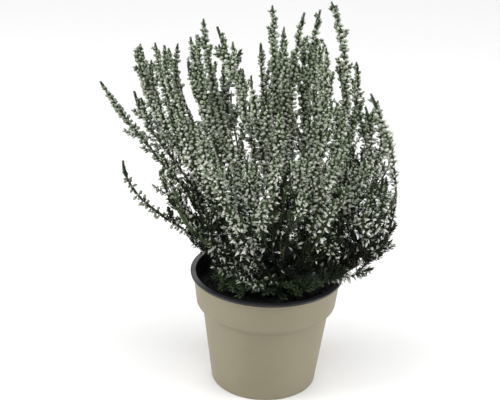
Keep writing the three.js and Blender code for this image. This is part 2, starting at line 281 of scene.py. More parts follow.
def mesh_of(bm, name):
    """A mesh from a bmesh, which is freed."""
    mesh = bpy.data.meshes.new(name)
    bm.to_mesh(mesh)
    bm.free()
    return mesh


def ready(piece, nodes):
    """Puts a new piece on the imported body, for the CAD nodes that it stands for."""
    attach(piece, ROOT)
    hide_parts(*nodes)
    return piece


class Heap:
    """Vertices, triangles and point attributes of one piece, collected bit by bit."""

    def __init__(self, *names):
        self.vertices = []
        self.triangles = []
        self.size = 0
        self.values = {name: [] for name in names}

    def add(self, vertices, triangles, **values):
        self.vertices.append(vertices)
        self.triangles.append(triangles + self.size)
        self.size += len(vertices)
        for name, held in self.values.items():
            held.append(np.broadcast_to(values[name], len(vertices)))

    def piece(self, name, material, slot, nodes, smooth=True):
        vertices = np.concatenate(self.vertices)
        triangles = np.concatenate(self.triangles)
        mesh = bpy.data.meshes.new(name)
        mesh.vertices.add(len(vertices))
        mesh.vertices.foreach_set("co", vertices.astype(np.float32).ravel())
        mesh.loops.add(triangles.size)
        mesh.loops.foreach_set("vertex_index", triangles.astype(np.int32).ravel())
        mesh.polygons.add(len(triangles))
        mesh.polygons.foreach_set("loop_start", np.arange(0, triangles.size, 3, dtype=np.int32))
        mesh.polygons.foreach_set("use_smooth", np.full(len(triangles), smooth))
        for key, held in self.values.items():
            layer = mesh.attributes.new(key, "FLOAT", "POINT")
            layer.data.foreach_set("value", np.concatenate(held).astype(np.float32))
        mesh.materials.append(material)
        mesh.update(calc_edges=True)
        mesh.validate()
        return ready(add_object(name, mesh), nodes)


def unit(vectors):
    return vectors / np.linalg.norm(vectors, axis=-1, keepdims=True)


def ring_triangles(rings, sides):
    """Triangles of a closed surface of rings, with a pole before the first ring and one after the last."""
    triangles = []
    around = np.arange(sides)
    after = (around + 1) % sides
    first = 1
    triangles.append(np.stack([np.zeros(sides, int), first + after, first + around], axis=1))
    for ring in range(rings - 1):
        low = 1 + ring * sides
        high = low + sides
        triangles.append(np.stack([low + around, low + after, high + after], axis=1))
        triangles.append(np.stack([low + around, high + after, high + around], axis=1))
    last = 1 + (rings - 1) * sides
    pole = 1 + rings * sides
    triangles.append(np.stack([last + around, last + after, np.full(sides, pole)], axis=1))
    return np.concatenate(triangles)


def spindle(rings, sides):
    """A unit shape along +Z with a pole at each end, from rings of [height, radius]."""
    turns = np.arange(sides) * 2 * math.pi / sides
    vertices = [[0.0, 0.0, 0.0]]
    for height, radius in rings:
        vertices += [[radius * math.cos(t), radius * math.sin(t), height] for t in turns]
    vertices.append([0.0, 0.0, 1.0])
    return np.array(vertices), ring_triangles(len(rings), sides)


BUD_SIDES = 5

# A bud sits on a short thin stalk, is widest at its middle and ends in a point. A young one is a round bead,
# and one on a lone shoot is a bead on a longer stalk.
BUD_SHAPE = spindle(((0.2, 0.5), (0.5, 1.0)), BUD_SIDES)
ROUND_BUD_SHAPE = spindle(((0.24, 0.78), (0.7, 0.92)), BUD_SIDES)
LONE_BUD_SHAPE = spindle(((0.26, 0.42), (0.46, 1.0), (0.8, 0.88)), BUD_SIDES)

# A scale leaf: a keeled diamond, with its keel on the inner side and +Y outwards.
LEAF_SHAPE = (
    np.array([[0.0, 0.0, 0.0], [-0.5, 0.36, 0.48], [0.5, 0.36, 0.48], [0.0, 0.1, 1.0]]),
    np.array([[0, 2, 1], [1, 2, 3], [0, 1, 3], [0, 3, 2]]),
)


def copies(heap, shape, origins, directions, outwards, lengths, widths, **values):
    """Adds copies of a unit shape that points along +Z, each with its own place, direction and size."""
    vertices, triangles = shape
    directions = unit(directions)
    outer = unit(outwards - directions * np.sum(outwards * directions, axis=1, keepdims=True))
    across = np.cross(outer, directions)
    placed = (
        origins[:, None]
        + vertices[None, :, 0:1] * across[:, None] * widths[:, None, None]
        + vertices[None, :, 1:2] * outer[:, None] * widths[:, None, None]
        + vertices[None, :, 2:3] * directions[:, None] * lengths[:, None, None]
    )
    count, size = len(origins), len(vertices)
    numbered = triangles[None] + np.arange(count)[:, None, None] * size
    spread = {name: np.repeat(value, size) for name, value in values.items()}
    spread["along"] = np.tile(vertices[:, 2], count)
    heap.add(placed.reshape(-1, 3), numbered.reshape(-1, 3), **spread)


NO_STEM_WAY = (0.3, 0.9, 0.1)  # a direction that no stem starts in


class Axis:
    """A stem's centre line, with its direction and two directions across it at each point."""

    def __init__(self, points):
        self.points = points
        steps = np.linalg.norm(np.diff(points, axis=0), axis=1)
        self.distance = np.concatenate([[0.0], np.cumsum(steps)])
        self.length = self.distance[-1]
        self.along = unit(np.gradient(points, axis=0))
        side = np.cross(self.along[0], NO_STEM_WAY)
        sides = []
        for direction in self.along:
            side = side - direction * np.dot(side, direction)
            side /= np.linalg.norm(side)
            sides.append(side)
        self.side = np.array(sides)
        self.other = np.cross(self.along, self.side)

    def at(self, distance, values):
        """The values at many distances from the foot."""
        return np.stack([np.interp(distance, self.distance, values[:, k]) for k in range(3)], axis=-1)

    def place(self, distance):
        return self.at(distance, self.points)

    def direction(self, distance):
        return unit(self.at(distance, self.along))

    def radial(self, distance, turn):
        side = unit(self.at(distance, self.side))
        other = unit(self.at(distance, self.other))
        return side * np.cos(turn)[:, None] + other * np.sin(turn)[:, None]


class Stem(NamedTuple):
    """A stem's form: radii, sides and spacing of rings, and its bark, from 0 for brown to 1 for green."""

    foot_radius: float
    tip_radius: float
    sides: int
    step: float
    foot_bark: float = 0.0
    tip_bark: float = 1.0


LEAST_RINGS = 4
UNEVENNESS = 0.12
FOOT_CAP = 0.4
TIP_CAP = 0.8


def tube(heap, axis, form, rng, tint=0.5):
    """A closed round stem along an axis, slightly uneven, as bark and leaf scars make it."""
    count = max(LEAST_RINGS, int(axis.length / (form.step * MM)))
    foot_radius = form.foot_radius * MM
    tip_radius = form.tip_radius * MM
    share = np.linspace(0.0, 1.0, count)
    distance = share * axis.length
    radius = foot_radius + (tip_radius - foot_radius) * share
    radius = radius * (1 + UNEVENNESS * rng.uniform(-1, 1, count))
    turns = np.arange(form.sides) * 2 * math.pi / form.sides
    centre = axis.place(distance)
    side = axis.at(distance, axis.side)
    other = axis.at(distance, axis.other)
    ring = centre[:, None] + radius[:, None, None] * (
        side[:, None] * np.cos(turns)[None, :, None] + other[:, None] * np.sin(turns)[None, :, None]
    )
    first = centre[0] - axis.along[0] * foot_radius * FOOT_CAP
    last = centre[-1] + axis.along[-1] * tip_radius * TIP_CAP
    vertices = np.concatenate([[first], ring.reshape(-1, 3), [last]])
    shares = np.concatenate([[0.0], np.repeat(share, form.sides), [1.0]])
    bark = form.foot_bark + (form.tip_bark - form.foot_bark) * shares
    heap.add(vertices, ring_triangles(count, form.sides), along=bark, tint=tint)


# --- Pot ---

DRAIN_COUNT = 8
DRAIN_RADIUS = 3.5
DRAIN_CIRCLE = 25.0
DRAIN_SIDES = 28
DRILL_HEIGHT = 3.5
DRILL_DEPTH = 3.0
POT_SIDES = 128
SHARP_ANGLE = math.radians(50)

# Outlines as [radius, height, rounding] in millimetres, from the axis out and up and back to the axis.
# The pot's wall has two colours: a taupe outer layer, whose top edge shows as a bead under the rim, and a
# black inner layer, which makes the rolled rim.
OUTER_LAYER = (
    (0.0, 0.0, 0.0), (15.0, 0.0, 0.5), (16.5, 3.0, 0.5), (34.0, 3.0, 0.5), (35.5, 0.0, 0.4), (41.3, 0.0, 1.5),
    (49.9, 63.5, 0.9), (54.8, 67.7, 1.6), (57.55, 90.6, 0.5), (59.7, 91.3, 0.35), (59.75, 92.2, 0.35),
    (57.15, 92.2, 0.0), (57.1, 90.4, 0.3), (54.38, 68.0, 1.3), (49.48, 63.8, 0.7), (40.9, 0.45, 1.2),
    (35.8, 0.45, 0.3), (34.3, 3.45, 0.4), (16.2, 3.45, 0.4), (14.7, 0.45, 0.4), (0.0, 0.45, 0.0),
)
INNER_LAYER = (
    (0.0, 0.47, 0.0), (14.7, 0.47, 0.4), (16.2, 3.47, 0.4), (34.3, 3.47, 0.4), (35.8, 0.47, 0.3),
    (40.88, 0.47, 1.2), (49.46, 63.8, 0.7), (54.36, 68.0, 1.3), (57.08, 90.4, 0.2), (57.1, 92.55, 0.1),
    (59.95, 92.55, 0.5), (60.0, 94.0, 0.75), (55.75, 94.0, 0.8), (55.85, 92.6, 0.3), (56.7, 90.3, 0.5),
    (53.9, 68.15, 1.2), (49.0, 63.95, 0.9), (40.4, 0.9, 1.2), (36.0, 0.9, 0.3), (34.5, 3.9, 0.4),
    (16.0, 3.9, 0.4), (14.5, 0.9, 0.4), (0.0, 0.9, 0.0),
)
ROUNDING_STEPS = 4
LONGEST_ROUNDING = 0.45  # as a share of an outline's side


def rounded(outline):
    """The outline's corners as short curves, tangent to both sides."""

    def towards(corner, neighbour, reach):
        way = neighbour - corner
        return corner + way / np.linalg.norm(way) * min(reach, np.linalg.norm(way) * LONGEST_ROUNDING)

    points = [np.array(p[:2]) for p in outline]
    result = [points[0]]
    for i in range(1, len(outline) - 1):
        corner = points[i]
        reach = outline[i][2]
        if reach == 0:
            result.append(corner)
            continue
        start = towards(corner, points[i - 1], reach)
        end = towards(corner, points[i + 1], reach)
        for step in range(ROUNDING_STEPS + 1):
            t = step / ROUNDING_STEPS
            result.append((1 - t) ** 2 * start + 2 * t * (1 - t) * corner + t**2 * end)
    result.append(points[-1])
    return result


def turned(outline, sides):
    """A bmesh of an outline turned about the Z axis, its two end points on the axis."""
    bm = bmesh.new()
    bottom = bm.verts.new((0.0, 0.0, outline[0][1] * MM))
    top = bm.verts.new((0.0, 0.0, outline[-1][1] * MM))
    turns = [2 * math.pi * k / sides for k in range(sides)]
    rings = [
        [bm.verts.new((radius * MM * math.cos(t), radius * MM * math.sin(t), height * MM)) for t in turns]
        for radius, height in outline[1:-1]
    ]
    for k in range(sides):
        n = (k + 1) % sides
        bm.faces.new((bottom, rings[0][n], rings[0][k]))
        bm.faces.new((top, rings[-1][k], rings[-1][n]))
        for low, high in zip(rings, rings[1:]):
            bm.faces.new((low[k], low[n], high[n], high[k]))
    bmesh.ops.recalc_face_normals(bm, faces=bm.faces)
    return bm


def drills():
    """The drain holes as one object of plugs, for cutting."""
    bm = bmesh.new()
    plug = {"radius1": DRAIN_RADIUS * MM, "radius2": DRAIN_RADIUS * MM, "depth": DRILL_DEPTH * MM}
    circle = DRAIN_CIRCLE * MM
    for i in range(DRAIN_COUNT):
        turn = (i + 0.5) / DRAIN_COUNT * 2 * math.pi
        place = Matrix.Translation((circle * math.cos(turn), circle * math.sin(turn), DRILL_HEIGHT * MM))
        bmesh.ops.create_cone(bm, cap_ends=True, segments=DRAIN_SIDES, matrix=place, **plug)
    return add_object("drills", mesh_of(bm, "drills"))


def pot_layer(name, outline, material, cutter):
    """One layer of the pot's wall, turned from its outline and drilled."""
    blank = add_object(name + "_blank", mesh_of(turned(rounded(outline), POT_SIDES), name))
    cut = blank.modifiers.new("drain", "BOOLEAN")
    cut.operation = "DIFFERENCE"
    cut.solver = "EXACT"
    cut.object = cutter
    bpy.context.view_layer.update()
    drilled = bpy.data.meshes.new_from_object(blank.evaluated_get(bpy.context.evaluated_depsgraph_get()))
    bpy.data.objects.remove(blank)
    drilled.name = name
    drilled.materials.clear()
    drilled.materials.append(material)
    drilled.shade_smooth()
    drilled.set_sharp_from_angle(angle=SHARP_ANGLE)
    return ready(add_object(name, drilled), ["pot"])


def make_pot():
    cutter = drills()
    pot_layer("pot_outside", OUTER_LAYER, POT_OUTSIDE, cutter)
    pot_layer("pot_inside", INNER_LAYER, POT_INSIDE, cutter)
    bpy.data.objects.remove(cutter)


# --- Peat, in millimetres up to the mesh ---

PEAT_EDGE_RADIUS = 54.9
PEAT_EDGE_Z = 80.5
PEAT_MOUND = 3.0
PEAT_SINK = 0.4  # by which the mesh lies below the smooth mound
PEAT_ROUGHNESS = 0.9
PEAT_RINGS = 40
PEAT_RING_CROWDING = 0.9
PEAT_SIDES = 120
PEAT_UNDERSIDE = (
    (0.0, 1.3), (13.6, 1.3), (15.4, 4.3), (35.2, 4.3), (36.8, 1.3),
    (38.7, 1.3), (39.9, 2.6), (48.6, 64.1), (53.5, 68.4),
)
PEAT_SEED = 11
PEAT_TINT = 0.4
PEAT_WAVES = 26
WAVE_RATES = (40, 260)
WAVE_RATE_SCALE = 6
WAVE_HEIGHT_SCALE = 12
CRUMBS = 900
CRUMB_SIZES = (0.35, 1.3)
CRUMB_SINK = 0.2
CRUMBS_WITHIN = 0.93  # share of the peat's area
FIBRES = 90
FIBRES_WITHIN = 0.85
FIBRE_LENGTHS = (3, 11)
FIBRE_BEND = 0.25
FIBRE_POINTS = 6
FIBRE_LIFT = 0.3
FIBRE_FORM = Stem(0.22, 0.12, 4, 1.6)
FREE_EDGE = 1.5  # width of the peat's edge without fibres


def any_turn(rng):
    return rng.uniform(0, 2 * math.pi)


def peat_height(radius):
    return PEAT_EDGE_Z + PEAT_MOUND * (1 - (radius / PEAT_EDGE_RADIUS) ** 2)


def add_peat_body(heap, rng):
    """The peat as a closed solid, its top uneven with waves in many directions."""
    turns = np.arange(PEAT_SIDES) * 2 * math.pi / PEAT_SIDES
    waves = [(rng.uniform(*WAVE_RATES), any_turn(rng), any_turn(rng)) for _ in range(PEAT_WAVES)]

    def top_height(radius, x, y):
        uneven = 0
        for rate, way, phase in waves:
            along = x * math.cos(way) + y * math.sin(way)
            uneven = uneven + math.sin(rate * along * WAVE_RATE_SCALE + phase) * WAVE_HEIGHT_SCALE / rate
        return peat_height(radius) + PEAT_ROUGHNESS * uneven - PEAT_SINK

    rings = list(PEAT_UNDERSIDE[1:])
    for i in range(PEAT_RINGS + 1):
        rings.append((PEAT_EDGE_RADIUS * (1 - i / (PEAT_RINGS + 1)) ** PEAT_RING_CROWDING, None))
    vertices = [[0.0, 0.0, PEAT_UNDERSIDE[0][1] * MM]]
    for radius, height in rings:
        for turn in turns:
            x = radius * math.cos(turn) * MM
            y = radius * math.sin(turn) * MM
            vertices.append([x, y, (top_height(radius, x, y) if height is None else height) * MM])
    vertices.append([0.0, 0.0, (peat_height(0.0) - PEAT_SINK) * MM])
    heap.add(np.array(vertices), ring_triangles(len(rings), PEAT_SIDES), tint=PEAT_TINT)


def add_crumbs(heap, rng):
    """Loose crumbs pressed into the peat, each an uneven ball."""
    ball = bmesh.new()
    bmesh.ops.create_icosphere(ball, subdivisions=1, radius=1.0)
    ball_vertices = np.array([v.co for v in ball.verts])
    ball_triangles = np.array([[v.index for v in f.verts] for f in ball.faces])
    ball.free()
    for _ in range(CRUMBS):
        radius = PEAT_EDGE_RADIUS * math.sqrt(rng.uniform(0, CRUMBS_WITHIN))
        turn = any_turn(rng)
        size = rng.uniform(*CRUMB_SIZES) * MM
        height = peat_height(radius) - CRUMB_SINK
        centre = np.array([radius * math.cos(turn) * MM, radius * math.sin(turn) * MM, height * MM])
        uneven = ball_vertices * rng.uniform(0.6, 1.15, (len(ball_vertices), 1))
        lump = uneven * (size * rng.uniform(0.6, 1.3, 3))
        heap.add(lump + centre, ball_triangles, tint=rng.uniform(0, 1))


def add_fibres(heap, rng):
    """Thin bent fibres that lie across the peat."""
    for _ in range(FIBRES):
        radius = PEAT_EDGE_RADIUS * math.sqrt(rng.uniform(0, FIBRES_WITHIN))
        turn = any_turn(rng)
        heading = any_turn(rng)
        length = rng.uniform(*FIBRE_LENGTHS)
        t = np.linspace(-0.5, 0.5, FIBRE_POINTS)
        bend = rng.uniform(-FIBRE_BEND, FIBRE_BEND) * length
        x = radius * math.cos(turn) + length * t * math.cos(heading) - bend * (t**2) * 4 * math.sin(heading)
        y = radius * math.sin(turn) + length * t * math.sin(heading) + bend * (t**2) * 4 * math.cos(heading)
        reach = np.hypot(x, y)
        inwards = np.minimum(1.0, (PEAT_EDGE_RADIUS - FREE_EDGE) / np.maximum(reach, 1e-6))
        x = x * inwards
        y = y * inwards
        lift = rng.uniform(0, 0.8)
        z = peat_height(np.hypot(x, y)) + FIBRE_LIFT + lift + rng.uniform(-0.3, 0.3, FIBRE_POINTS)
        line = Axis(np.stack([x, y, z], axis=1) * MM)
        tube(heap, line, FIBRE_FORM, rng, tint=rng.uniform(0, 1))


def make_peat():
    rng = np.random.default_rng(PEAT_SEED)
    peat = Heap("tint")
    add_peat_body(peat, rng)
    add_crumbs(peat, rng)
    peat.piece("peat_soil_top", PEAT, "peat", ["peat_soil"])
    fibres = Heap("tint", "along")
    add_fibres(fibres, rng)
    fibres.piece("peat_soil_fibres", FIBRE, "peat", ["peat_soil"])


# --- Where the plant grows ---

# In these tables M11 is main_stem_11 and S34 is flower_shoot_34.
LEAFY_SHOOTS = ("S05",)  # green shoots that carry no buds
# Shoots whose tip is leafy for longer, in millimetres.
LONG_TIPS = {"S13": 17, "S18": 14, "S04": 11, "S19": 9, "S25": 8, "S26": 11, "M02": 10, "M10": 9, "M11": 11}
LOW_SPREADERS = ("M11", "S37", "S38", "S39", "S40", "M09")  # their side spikes start low down
# How far the side spikes of these shoots follow their leader, and how far they rise.
GROWTH = {"M11": (0.25, 0.9), "S37": (0.3, 0.9), "M10": (0.5, 0.6)}
USUAL_GROWTH = (0.8, 0.25)
LONE_FROM = {"M01": 0.42, "M02": 0.45}  # share of the length from which they stand alone
LONE_REACH = {"M01": 0.2, "M02": 0.0}  # how far their laterals reach there
BUDS_ABOVE = 94 * MM  # no buds nearer to the peat than this

# Gaps in the crown through which the background shows, in the picture's pixels: from, to, half the width.
GAPS = (
    ((184, 42), (184, 82), 2.5), ((186, 88), (191, 102), 3.2), ((192, 106), (198, 118), 2.2),
    ((254, 40), (255, 88), 2.5),
    ((291, 22), (291, 47), 3.0), ((358, 25), (365, 88), 2.5), ((395, 105), (403, 150), 4.0),
    ((405, 170), (406, 228), 5.0), ((230, 86), (235, 106), 2.0), ((230, 124), (237, 144), 2.0),
    ((335, 80), (338, 96), 2.0), ((296, 93), (296, 109), 1.5), ((358, 141), (362, 145), 1.0),
    ((376, 138), (381, 138), 1.0), ((174, 184), (179, 184), 1.0), ((182, 210), (186, 214), 1.0),
    ((247, 105), (248, 109), 1.0), ((203, 60), (206, 62), 1.0), ((276, 190), (277, 195), 1.0),
    ((310, 10), (308, 31), 2.4), ((355, 22), (359, 56), 4.0),
)
GAP_RAGGEDNESS = 0.45  # how much their edges come and go
GAP_WAVES = (1.9, 1.3)  # how fast they do, across and down

# Side spikes given one by one, to fill the crown as the photo shows it: the parent, the share of its length
# where they fork off, the pixel where their tip is seen, and its depth in millimetres.
CHOSEN_SPIKES = (
    ("M11", 0.08, 312, 252, -22), ("M11", 0.10, 322, 244, -26), ("M11", 0.13, 330, 236, -30),
    ("M11", 0.16, 338, 222, -30), ("M11", 0.19, 348, 238, -38), ("M11", 0.22, 353, 214, -36),
    ("M11", 0.28, 366, 240, -44), ("M11", 0.34, 382, 246, -44), ("M11", 0.38, 392, 240, -36),
    ("M11", 0.42, 395, 226, -30), ("M11", 0.24, 352, 246, -12), ("M11", 0.30, 366, 250, -8),
    ("M10", 0.12, 326, 224, -12), ("M10", 0.20, 340, 206, -16), ("M10", 0.28, 352, 196, 8),
    ("M10", 0.16, 346, 232, 12), ("M09", 0.22, 316, 238, -50), ("M09", 0.34, 333, 222, -60),
    ("M09", 0.38, 341, 238, -62), ("S01", 0.20, 193, 196, -16), ("S01", 0.35, 181, 200, -22),
    ("M02", 0.30, 200, 212, -30), ("M02", 0.40, 183, 212, -22), ("M01", 0.20, 206, 194, 0),
    ("S05", 0.28, 207, 214, -50), ("M02", 0.12, 212, 262, -30), ("M02", 0.08, 226, 262, -34),
    ("M05", 0.05, 236, 250, -40), ("M05", 0.08, 248, 262, -46), ("M07", 0.06, 262, 266, -46),
    ("M07", 0.08, 282, 260, -48), ("S34", 0.30, 348, 158, 4), ("S34", 0.45, 363, 150, 0),
    ("S36", 0.30, 350, 178, -24), ("S33", 0.25, 344, 170, 10), ("M10", 0.45, 357, 176, -2),
    ("M08", 0.30, 348, 146, -6), ("S30", 0.50, 350, 136, -30), ("M10", 0.22, 344, 218, -4),
    ("M11", 0.18, 342, 230, -20), ("S01", 0.45, 172, 192, -30), ("M01", 0.35, 190, 180, 0),
    ("M01", 0.30, 196, 188, 12), ("M12", 0.15, 288, 204, 36), ("S42", 0.10, 294, 200, 34),
    ("M06", 0.12, 284, 206, 14), ("M04", 0.15, 262, 200, 16), ("M03", 0.10, 238, 212, 22),
    ("M10", 0.10, 312, 212, 16), ("S18", 0.55, 246, 82, 18), ("S18", 0.40, 251, 98, 22),
    ("M02", 0.24, 199, 246, -10), ("M02", 0.30, 190, 238, -20), ("M11", 0.33, 385, 250, -28),
    ("M11", 0.36, 390, 243, -22), ("M11", 0.40, 392, 231, -22), ("S28", 0.45, 333, 72, -22),
    ("M12", 0.12, 284, 222, 30), ("M10", 0.08, 300, 228, 20), ("M10", 0.14, 345, 226, 18),
    ("M10", 0.18, 352, 205, 14), ("M06", 0.08, 280, 232, 10), ("M02", 0.10, 232, 258, -40),
    ("M05", 0.04, 242, 268, -44), ("M05", 0.10, 256, 250, -52), ("M07", 0.04, 270, 274, -46),
    ("S05", 0.15, 222, 248, -44), ("S05", 0.10, 232, 246, -46), ("M11", 0.24, 359, 200, -30),
    ("M11", 0.20, 349, 215, -18), ("S39", 0.30, 372, 184, -38), ("S35", 0.50, 375, 160, 15),
    ("M10", 0.55, 353, 148, 0), ("M07", 0.45, 291, 158, -34), ("S11", 0.55, 188, 62, -10),
    ("S26", 0.48, 299, 66, 6), ("S28", 0.40, 314, 62, -14), ("S26", 0.62, 317, 40, 18),
    ("S31", 0.60, 332, 104, -40), ("S30", 0.70, 337, 104, -30), ("M08", 0.62, 340, 62, 6),
    ("S33", 0.55, 362, 101, 28), ("S03", 0.60, 151, 62, 20), ("S03", 0.70, 138, 49, 12),
    ("M02", 0.09, 222, 268, -34), ("M05", 0.03, 238, 275, -42), ("M05", 0.04, 252, 281, -44),
    ("M01", 0.42, 162, 152, 2), ("S01", 0.50, 170, 172, -32), ("M02", 0.52, 168, 207, -18),
    ("S31", 0.55, 330, 130, -44), ("S13", 0.72, 219, 45, -8), ("S13", 0.60, 243, 70, -20),
    ("S26", 0.58, 304, 38, 10), ("M10", 0.72, 360, 112, 4), ("M11", 0.28, 377, 253, -30),
    ("M11", 0.32, 388, 243, -26), ("M11", 0.45, 394, 226, -32), ("S28", 0.62, 320, 46, -20),
    ("M05", 0.03, 258, 282, -44), ("S42", 0.12, 290, 160, 48), ("M03", 0.30, 226, 150, 24),
    ("M10", 0.42, 351, 150, 14), ("M10", 0.25, 338, 184, 6), ("S38", 0.50, 383, 178, 6),
    ("S39", 0.20, 375, 192, -32), ("S36", 0.20, 340, 184, -36), ("M09", 0.60, 346, 188, -66),
    ("S32", 0.55, 343, 148, -56), ("M10", 0.35, 347, 164, -22),
)

# Leafy twigs that spread just above the peat, given in the same way.
BASE_TWIGS = (
    ("M07", 0.02, 285, 297, -33), ("M07", 0.03, 268, 291, -36), ("M09", 0.02, 300, 291, -36),
    ("M09", 0.04, 314, 285, -38), ("M11", 0.04, 324, 279, -30), ("M11", 0.07, 334, 273, -26),
    ("M05", 0.03, 246, 284, -32), ("M05", 0.04, 258, 288, -36), ("M02", 0.05, 233, 280, -24),
    ("M02", 0.07, 223, 272, -18), ("M09", 0.06, 306, 277, -40), ("M07", 0.06, 290, 284, -40),
    ("M02", 0.10, 214, 266, -12), ("M05", 0.06, 240, 274, -34), ("M09", 0.10, 312, 262, -46),
    ("M11", 0.06, 322, 268, -40), ("M11", 0.10, 334, 262, -40), ("M11", 0.12, 344, 268, -30),
    ("M09", 0.14, 304, 256, -52), ("M07", 0.10, 292, 268, -50), ("M11", 0.03, 316, 277, -44),
    ("M10", 0.05, 328, 252, -16), ("M02", 0.04, 221, 283, -22), ("M02", 0.05, 232, 289, -30),
    ("M02", 0.03, 242, 291, -32), ("M02", 0.06, 214, 276, -11),
)

FIT_ROUNDS = 12
FIT_SAMPLES = 240
AXIS_POINTS = 90


def bezier(control, t):
    """Points of a cubic curve with four control points."""
    t = t[:, None]
    return (
        (1 - t) ** 3 * control[0] + 3 * t * (1 - t) ** 2 * control[1]
        + 3 * t**2 * (1 - t) * control[2] + t**3 * control[3]
    )


def centre_line(node):
    """The axis of a CAD shoot, which is a round body along one cubic curve, fitted to its vertices."""
    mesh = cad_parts[node].data
    points = np.empty(len(mesh.vertices) * 3, np.float32)
    mesh.vertices.foreach_get("co", points)
    points = np.unique(np.round(points.reshape(-1, 3).astype(float), 6), axis=0)
    foot = points[points[:, 2].argmin()]
    tip = points[np.linalg.norm(points - foot, axis=1).argmax()]
    chord = tip - foot
    t = np.clip((points - foot) @ chord / (chord @ chord), 0, 1)
    samples = np.linspace(0, 1, FIT_SAMPLES)
    for _ in range(FIT_ROUNDS):
        basis = np.stack([(1 - t) ** 3, 3 * t * (1 - t) ** 2, 3 * t**2 * (1 - t), t**3], axis=1)
        control = np.linalg.lstsq(basis, points, rcond=None)[0]
        line = bezier(control, samples)
        t = samples[((points[:, None] - line[None]) ** 2).sum(axis=2).argmin(axis=1)]
        t = (t - t.min()) / (t.max() - t.min())
    return Axis(bezier(control, np.linspace(0, 1, AXIS_POINTS)))


BARE_SHARE = 0.03  # of a shoot's length, at its foot
SHOOT_SEED = 1000
SPRIG_SEED = 500
CHOSEN_SEED = 9
BASE_TWIG_SEED = 12
SIDE_SPIKE_SEED = 4


class Shoot:
    """One CAD shoot: its leader, and the side spikes and leafy twigs that this script adds to it."""

    def __init__(self, name, number):
        self.name = name
        self.woody = name.startswith("main_stem")
        self.key = ("M" if self.woody else "S") + name[-2:]
        self.rng = np.random.default_rng(SHOOT_SEED + number)
        self.axis = centre_line(name)
        self.bare = BARE_SHARE * self.axis.length
        self.spikes = []
        self.laterals = []
        self.twigs = []
        self.base_twigs = []


def any_angle(rng, low, high):
    """An angle between two given in degrees."""
    return math.radians(rng.uniform(low, high))


SIDE_STEP = 2 * MM
LEANS = (0.02, 0.16)  # how far a side line leans away from its leader


def side_line(axis, start, turn, angle, length, rng, follow=0.8, upward=0.25, bend=0.22):
    """A side shoot's points: it leaves at an angle and soon turns up beside its leader."""
    way = axis.direction(np.array([start]))[0]
    out = axis.radial(np.array([start]), np.array([turn]))[0]
    place = axis.place(np.array([start]))[0]
    heading = way * math.cos(angle) + out * math.sin(angle)
    lean = rng.uniform(*LEANS)
    points = [place]
    for i in range(int(length / SIDE_STEP)):
        beside = axis.direction(np.array([min(axis.length, start + i * SIDE_STEP)]))[0]
        goal = unit(beside * follow + np.array([0, 0, upward]) + out * lean)
        heading = unit(heading + (goal - heading) * bend)
        points.append(points[-1] + heading * SIDE_STEP)
    return np.array(points)


CHOSEN_PULL = 0.35  # how far the curve's ends pull it, as a share of its reach
CHOSEN_RISE = (0, 0, 1.2)


def chosen_line(axis, share, x, y, depth):
    """A side shoot from a fork on its leader, out along the leader and then up to its tip."""
    start = share * axis.length
    foot = axis.place(np.array([start]))[0]
    way = axis.direction(np.array([start]))[0]
    tip = behind_pixel(x, y, depth * MM)
    reach = np.linalg.norm(tip - foot)
    outwards = unit(tip - foot)
    after_foot = foot + unit(way + outwards) * reach * CHOSEN_PULL
    before_tip = tip - unit(outwards + CHOSEN_RISE) * reach * CHOSEN_PULL
    control = np.array([foot, after_foot, before_tip, tip])
    return bezier(control, np.linspace(0, 1, max(6, int(reach / SIDE_STEP))))


def seen_in_gap(points, margin=0.0):
    """Which of the points are seen in one of the crown's gaps, or within a margin of it in pixels."""
    seen = in_picture(points)
    ragged = 1 + GAP_RAGGEDNESS * np.sin(GAP_WAVES[0] * seen[:, 0]) * np.sin(GAP_WAVES[1] * seen[:, 1])
    inside = np.zeros(len(points), bool)
    for start, end, half_width in GAPS:
        start = np.array(start, float)
        way = np.array(end, float) - start
        share = np.clip((seen - start) @ way / (way @ way), 0, 1)
        inside |= np.linalg.norm(seen - start - share[:, None] * way, axis=1) < half_width * ragged + margin
    return inside


OVER_RIM = 99 * MM
OVER_PEAT = 87 * MM
RIM_INSIDE = 44 * MM  # distance from the pot's axis at which the rim starts to matter


def clear_of_rim(line):
    """Whether a line stays above the peat, and above the pot's rim where it reaches that far out."""
    floor = np.where(np.hypot(line[:, 0], line[:, 1]) > RIM_INSIDE, OVER_RIM, OVER_PEAT)
    return (line[:, 2] > floor).all()


BOX_MARGIN = 4 * MM


def in_cad_box(line):
    """Whether a line stays inside the CAD model's box, with a margin."""
    low, high = (np.array(corner) for corner in cad_box)
    return (line > low + BOX_MARGIN).all() and (line < high - BOX_MARGIN).all()


HOLLOWS = (  # shaded hollows low at the front, where few buds are left: centre, half sizes
    ((0.022, -0.050, 0.118), (0.026, 0.050, 0.030)), ((0.066, -0.040, 0.124), (0.012, 0.050, 0.020)),
    ((0.014, -0.055, 0.150), (0.018, 0.050, 0.042)),
)


def in_hollow(points):
    return np.any([np.linalg.norm((points - centre) / half, axis=1) < 1 for centre, half in HOLLOWS], axis=0)


# --- Leafy twigs ---

